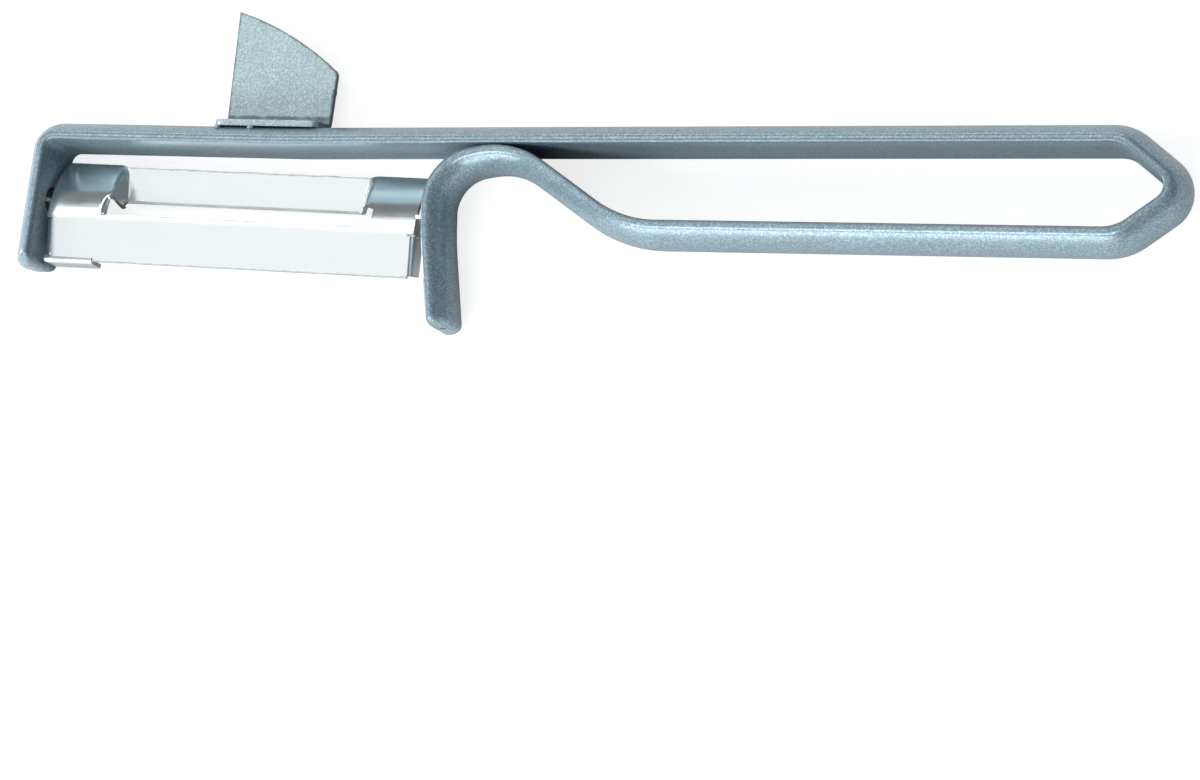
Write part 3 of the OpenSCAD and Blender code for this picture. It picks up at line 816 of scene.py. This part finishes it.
def tracedWall():
    # The wall's middle line as [up, forward] from the panel's lower edge
    panelLean, fold = blade["panelLean"], blade["foldLength"]
    lowLean, topLean = blade["wallLeans"]
    radius = blade["wallRadius"]
    turnAt = blade["panel"] - fold / 2
    length = blade["panel"] + radius * math.radians(topLean - lowLean)
    spot = Vector(blade["low"])
    points = [spot.copy()]
    for k in range(int(length / wallStep) + wallSpare):
        s = (k + 0.5) * wallStep
        if s < turnAt:
            lean = panelLean
        elif s < turnAt + fold:
            lean = panelLean - (panelLean + lowLean) * (s - turnAt) / fold
        else:
            lean = -lowLean - math.degrees((s - turnAt - fold) / radius)
        spot = spot + Vector((math.cos(math.radians(lean)), math.sin(math.radians(lean)))) * wallStep
        points.append(spot.copy())
    return points, length


wallPoints, wallLength = tracedWall()


def wallAt(s):
    place = min(max(s, 0.0) / wallStep, len(wallPoints) - 2)
    k = int(place)
    spot = wallPoints[k].lerp(wallPoints[k + 1], place - k)
    if s < 0:
        spot = spot + Vector(blade["panelWay"]) * s
    return spot


def flatOf(up):
    # Distance along the wall at a height
    return min(range(len(wallPoints)), key=lambda k: abs(wallPoints[k].x - up)) * wallStep


# Where the end walls are cut free on the flat sheet, and where their bends begin
flatOfEarTop = flatOf(blade["earTop"])
flatOfEarLow = (flatOf(blade["leftEar"][0]), flatOf(blade["rightEar"][0]))
bendLeft = blade["gap"] + blade["sheet"] / 2 + blade["earBend"]
bendRight = blade["gap"] + blade["length"] - blade["sheet"] / 2 - blade["earBend"]


def smoothStep(value):
    value = min(max(value, 0.0), 1.0)
    return value * value * (3 - 2 * value)


def lipShare(x, s):
    # 0 on the wall and 1 on the flat lip
    height = min(max(1 - (wallLength - s) / blade["lipLength"], 0.0), 1.0)
    shares = []
    for low, high in (blade["lipLeft"], blade["lipRight"]):
        start = low[0] + (high[0] - low[0]) * height
        end = low[1] + (high[1] - low[1]) * height
        shares.append(smoothStep((x - start) / (end - start)))
    return min(shares) * smoothStep((s - blade["slotLow"]) / 1.2)


def flapDrop(across, s):
    # How far the flap at the slot's left end moves left and down
    low, top = blade["slotLow"], blade["slotTop"]
    line = blade["slot"][0] + 0.4 * min(max((s - low - blade["flapLow"]) / 1.66, 0.0), 1.0)
    past = across - line
    if past <= 0 or past > blade["flap"] + 0.3 or s < low - 0.05 or s > top:
        return 0.0, 0.0
    full = math.radians(blade["flapTurn"])
    turn = min(past / blade["flapBend"], full)
    left = past - blade["flapBend"] * turn
    share = smoothStep((s - low) / 0.3) * smoothStep((top - s) / 0.5)
    newPast = blade["flapBend"] * math.sin(turn) + left * math.cos(full)
    drop = blade["flapBend"] * (1 - math.cos(turn)) + left * math.sin(full)
    return (past - newPast) * share, drop * share


def groundLip(across, along, off):
    # The front of the lip is ground down to its cutting edge
    edge = wallLength - blade["lipLength"]
    up = (along - edge) / blade["lipGround"]
    if off > 0 and up < 1 and along > blade["slotTop"] + 0.3 and lipShare(across, along) > 0.9:
        return off * max(up, 0.0) + blade["lipTip"] * (1 - max(up, 0.0))
    return off


def bladeMiddle(across, along):
    x, back = across, 0.0
    radius = blade["earBend"]
    low = flatOfEarLow[0] if across < bendLeft else flatOfEarLow[1]
    if low < along < flatOfEarTop and (across < bendLeft or across > bendRight):
        side = -1 if across < bendLeft else 1
        past = bendLeft - across if across < bendLeft else across - bendRight
        turn = min(past / radius, math.pi / 2)
        x = (bendLeft if side < 0 else bendRight) + side * radius * math.sin(turn)
        back = radius * (1 - math.cos(turn)) + past - radius * turn
    spot = wallAt(along)
    if across < blade["gap"] + blade["flange"] + 0.1:
        # The flange is bent back from the panel's lower edge
        bend, lean = blade["flangeBend"], math.radians(blade["panelLean"])
        start = bend * (1 - math.sin(lean)) / math.cos(lean)
        if along < start:
            turn = min((start - along) / bend, math.pi / 2 - lean)
            spot = wallAt(start) - Vector((bend * (math.sin(lean + turn) - math.sin(lean)),
                                           bend * (math.cos(lean) - math.cos(lean + turn))))
            spot.y -= (start - along) - bend * turn
    share = lipShare(across, along)
    if share > 0:
        top = wallAt(wallLength)
        lean = math.radians(blade["lipLean"])
        down = wallLength - along
        flat = Vector((top.x - down * math.cos(lean), top.y - down * math.sin(lean)))
        spot = spot.lerp(flat, share)
    flapLeft, flapDown = flapDrop(across, along)
    return Vector((x - flapLeft, spot.x, spot.y - back - flapDown))


def earEdge(side, up, forward):
    # Flat place of a corner of an end wall
    along = flatOf(up)
    back = wallAt(along).y - forward
    radius = blade["earBend"]
    reach = radius * math.pi / 2 + back - radius
    return (bendLeft - reach, along) if side < 0 else (bendRight + reach, along)


def bladeOutline():
    left, right = blade["gap"], blade["gap"] + blade["length"]
    notch, corner = blade["notch"], blade["corner"]
    flangeCorner, slit = blade["flangeCorner"], blade["flangeSlit"]
    past, inside, cut = 0.1, 0.01, 0.5      # over a bend's start, inside an end wall, off its corners
    flangeEnd = -(blade["flangeDepth"] - blade["flangeBend"] * 0.55) - 0.3
    flangeRight = left + blade["flange"]
    earTop, nearTop = flatOfEarTop - inside, blade["earTop"] - 0.1
    lowLeft, lowRight = flatOfEarLow[0] + inside, flatOfEarLow[1] + inside
    step, back = blade["rightEar"][1:]
    leftStep, leftBack = blade["leftEar"][1:]
    return [
        (left + flangeCorner, flangeEnd), (flangeRight - flangeCorner, flangeEnd),
        (flangeRight - flangeCorner, flangeEnd + flangeCorner, 90, 4),
        (flangeRight, slit), (flangeRight + notch, slit, -180, 8),
        (flangeRight + 2 * notch, 0.0), (bendRight + past, 0.0), (bendRight + past, lowRight),
        earEdge(1, step, back),
        earEdge(1, blade["earTop"] - cut, back),
        (earEdge(1, nearTop, back)[0] - cut, earTop),
        (bendRight - past, earTop), (bendRight - past, earTop + notch, -180, 8),
        (right, earTop + 2 * notch), (right, wallLength - corner),
        (right - corner, wallLength - corner, 90, 8),
        (left + corner, wallLength), (left + corner, wallLength - corner, 90, 8),
        (left, earTop + 2 * notch), (bendLeft + past, earTop + 2 * notch),
        (bendLeft + past, earTop + notch, -180, 8),
        (earEdge(-1, nearTop, leftBack)[0] + cut, earTop),
        earEdge(-1, blade["earTop"] - cut, leftBack),
        earEdge(-1, leftStep, leftBack),
        (bendLeft + past, lowLeft), (bendLeft + past, lowLeft - notch, -180, 8),
        (left, lowLeft - 2 * notch), (left, flangeEnd + flangeCorner),
        (left + flangeCorner, flangeEnd + flangeCorner, 90, 4),
    ]


def slotOutline():
    start, end = blade["slot"]
    low, top = blade["slotLow"], blade["slotTop"]
    edge = wallLength - blade["lipLength"]
    flap, corner = start + blade["flap"], blade["flapCorner"]
    return [
        (flap, low), (end, low), (end, top), (blade["lipRight"][0][1], edge), (blade["lipLeft"][0][1], edge),
        (flap + corner, top + 0.15), (flap + corner, top), (flap + corner, top - corner, 60, 5),
        (flap, low + blade["flapLow"]),
    ]


def buildTongues():
    # Flat tongues, bent out of the end walls
    bm = bmesh.new()
    span = strip["hingeSpan"]
    half, bend = blade["tongueRadius"], 0.5
    leftWall = blade["gap"] + blade["sheet"] / 2
    rightWall = blade["gap"] + blade["length"] - blade["sheet"] / 2
    for wall, end, side in ((leftWall, -blade["leftReach"], -1), (rightWall, span + blade["rightReach"], 1)):
        vert = bm.verts.new((wall, blade["rootLow"], -half))
        vert = drawTo(bm, vert, (wall, -bend, -half))
        vert = drawArc(bm, vert, (wall + side * bend, -bend, -half), (0, 0, 1), -side * 90, 6)
        vert = drawTo(bm, vert, (end, 0, -half))
    rings = 10
    edges = list(bm.edges)
    for k in range(rings):
        edges = pushRing(bm, edges, Vector((0, 0, 2 * half / rings)))
    # The root stays under the wall
    high = []
    for face in bm.faces:
        spot = face.calc_center_median()
        if spot.y < -0.05 and spot.z > blade["rootTop"]:
            high.append(face)
    bmesh.ops.delete(bm, geom=high, context="FACES")
    bmesh.ops.recalc_face_normals(bm, faces=bm.faces)
    bmesh.ops.solidify(bm, geom=list(bm.faces), thickness=blade["sheet"] - 0.02)
    bmesh.ops.recalc_face_normals(bm, faces=bm.faces)
    return bm


def evenly(first, step, count):
    return [first + step * k for k in range(count)]


def buildBlade():
    left, right = blade["gap"], blade["gap"] + blade["length"]
    bendIn = blade["sheet"] / 2 + blade["earBend"]
    # Finer lines where the sheet bends most: the flap, the lip's right end and the end walls
    extraAcross = (evenly(blade["slot"][0], 0.12, 18) + evenly(47.3, 0.1, 36)
                   + evenly(left + bendIn, -0.11, 7) + evenly(right - bendIn, 0.11, 7))
    # and the lip's ground edge, the flange's bend and both edges of the slot
    extraAlong = ([wallLength - blade["lipLength"] + blade["lipGround"]] + evenly(0, 0.06, 9)
                  + evenly(blade["slotLow"], 0.08, 5) + evenly(blade["slotTop"], -0.12, 5))
    bm = cutSheet("bladeSlab", (left - 5.0, -4.4), (right + 5.0, wallLength + 0.8), blade["step"],
                  blade["sheet"], bladeOutline(), [slotOutline()], blade["rim"], blade["edgeDarkening"],
                  extraAcross, extraAlong)
    # Painted shade: the flange's bend is darkened and dulled
    edgeDarkening = bm.verts.layers.float["rim"]
    for vert in bm.verts:
        if 0.05 < vert.co.y < 0.5 and left + 1.0 < vert.co.x < left + blade["flange"] + 0.1:
            vert[edgeDarkening] = 1.0
    bendSheet(bm, bladeMiddle, groundLip)
    joined = bpy.data.meshes.new("tongues")
    tongues = buildTongues()
    tongues.to_mesh(joined)
    tongues.free()
    bm.from_mesh(joined)
    bpy.data.meshes.remove(joined)
    bmesh.ops.transform(bm, matrix=hingeFrame(), verts=bm.verts)
    return bm


bladePiece = newPiece("swivelBlade", buildBlade(), bladeSteel, "blade", ["blade"])
smoothByAngle(bladePiece, 44)
weightNormals(bladePiece)
print("blade made:", len(bladePiece.data.polygons))


# Floor, lights and camera

setting = {
    "floor": (0.35, 0.355, 0.36, 1), "floorLift": 0.8, "groundShade": 0.05, "groundDepth": 3.0,
    "world": (0.9, 0.97, 1.0, 1), "worldStrength": 0.2,
    # name: place, aim, size across, size along, watts
    "lights": {
        "overhead": ((-0.25, -0.02, 0.9), (0, 0, 0), 0.8, 0.8, 1.7),
        "backMid": ((-0.2, 0.44, 0.72), (0, 0, 0), 0.8, 0.2, 1.5),
        "backLow": ((-0.2, 0.85, 0.25), (0, 0, 0), 0.8, 0.2, 1.9),
        "leftLow": ((-0.8, -0.05, 0.25), (0, 0, 0), 0.2, 0.6, 5.1),
        "frontMid": ((-0.15, -0.65, 0.6), (0, 0, 0), 0.8, 0.25, 5.0),
        "frontLow": ((-0.25, -0.9, 0.16), (0, 0, 0), 0.9, 0.22, 4.2),
    },
    "lens": 115.56, "eye": (177.944, -123.141, 501.786),
}


def makeFloor():
    bm = bmesh.new()
    bmesh.ops.create_grid(bm, x_segments=8, y_segments=8, size=1.6)
    mesh = bpy.data.meshes.new("floor")
    bm.to_mesh(mesh)
    bm.free()
    floor = bpy.data.objects.new("floor", mesh)
    scene.collection.objects.link(floor)
    floor.location.z = -0.00002
    material, tree, shader = newMaterial("paleFloor")[:3]
    shader.inputs["Base Color"].default_value = setting["floor"]
    shader.inputs["Roughness"].default_value = 0.9
    shader.inputs["Specular IOR Level"].default_value = 0.1
    # The floor shows white to the camera and in reflections, where ambient occlusion paints shade on the
    # ground close by
    ray = addNode(tree, "ShaderNodeLightPath")
    near = addNode(tree, "ShaderNodeAmbientOcclusion", Distance=setting["groundShade"], samples=6)
    deeper = addNode(tree, "ShaderNodeMath", operation="POWER")
    deeper.inputs[1].default_value = setting["groundDepth"]
    ground = addNode(tree, "ShaderNodeMath", operation="MULTIPLY")
    clear = addNode(tree, "ShaderNodeMath", operation="MAXIMUM")
    seen = addNode(tree, "ShaderNodeMath", operation="MAXIMUM")
    lift = addNode(tree, "ShaderNodeMath", operation="MULTIPLY")
    lift.inputs[1].default_value = setting["floorLift"]
    tree.links.new(ray.outputs["Is Glossy Ray"], ground.inputs[0])
    tree.links.new(near.outputs["AO"], deeper.inputs[0])
    tree.links.new(deeper.outputs[0], ground.inputs[1])
    tree.links.new(ray.outputs["Is Camera Ray"], clear.inputs[0])
    tree.links.new(ray.outputs["Is Transmission Ray"], clear.inputs[1])
    tree.links.new(clear.outputs[0], seen.inputs[0])
    tree.links.new(ground.outputs[0], seen.inputs[1])
    tree.links.new(seen.outputs[0], lift.inputs[0])
    shader.inputs["Emission Color"].default_value = (1, 1, 1, 1)
    tree.links.new(lift.outputs[0], shader.inputs["Emission Strength"])
    mesh.materials.append(material)


def makeLight(name, place, aim, across, along, watts):
    data = bpy.data.lights.new(name, "AREA")
    data.shape = "RECTANGLE"
    data.size = across
    data.size_y = along
    data.energy = watts
    light = bpy.data.objects.new(name, data)
    scene.collection.objects.link(light)
    light.location = place
    light.rotation_euler = (Vector(aim) - Vector(place)).to_track_quat("-Z", "Y").to_euler()


def makeCamera():
    data = bpy.data.cameras.new("photoView")
    data.lens = setting["lens"]
    data.sensor_width = 36
    data.sensor_fit = "HORIZONTAL"
    data.clip_start = 0.01
    data.clip_end = 10
    camera = bpy.data.objects.new("photoView", data)
    scene.collection.objects.link(camera)
    # One column each for the camera's right, up and back
    turn = Matrix((
        (0.94591322, -0.02194336, 0.32367679),
        (0.08140728, 0.98184261, -0.17134158),
        (-0.31403986, 0.18842392, 0.93052426),
    ))
    camera.matrix_world = Matrix.Translation(Vector(setting["eye"]) * mm) @ turn.to_4x4()
    scene.camera = camera


makeFloor()
for name, values in setting["lights"].items():
    makeLight(name, *values)
makeCamera()
world = bpy.data.worlds.new("studio")
world.use_nodes = True
world.node_tree.nodes["Background"].inputs["Color"].default_value = setting["world"]
world.node_tree.nodes["Background"].inputs["Strength"].default_value = setting["worldStrength"]
scene.world = world
scene.view_settings.view_transform = "Standard"
print("scene set")
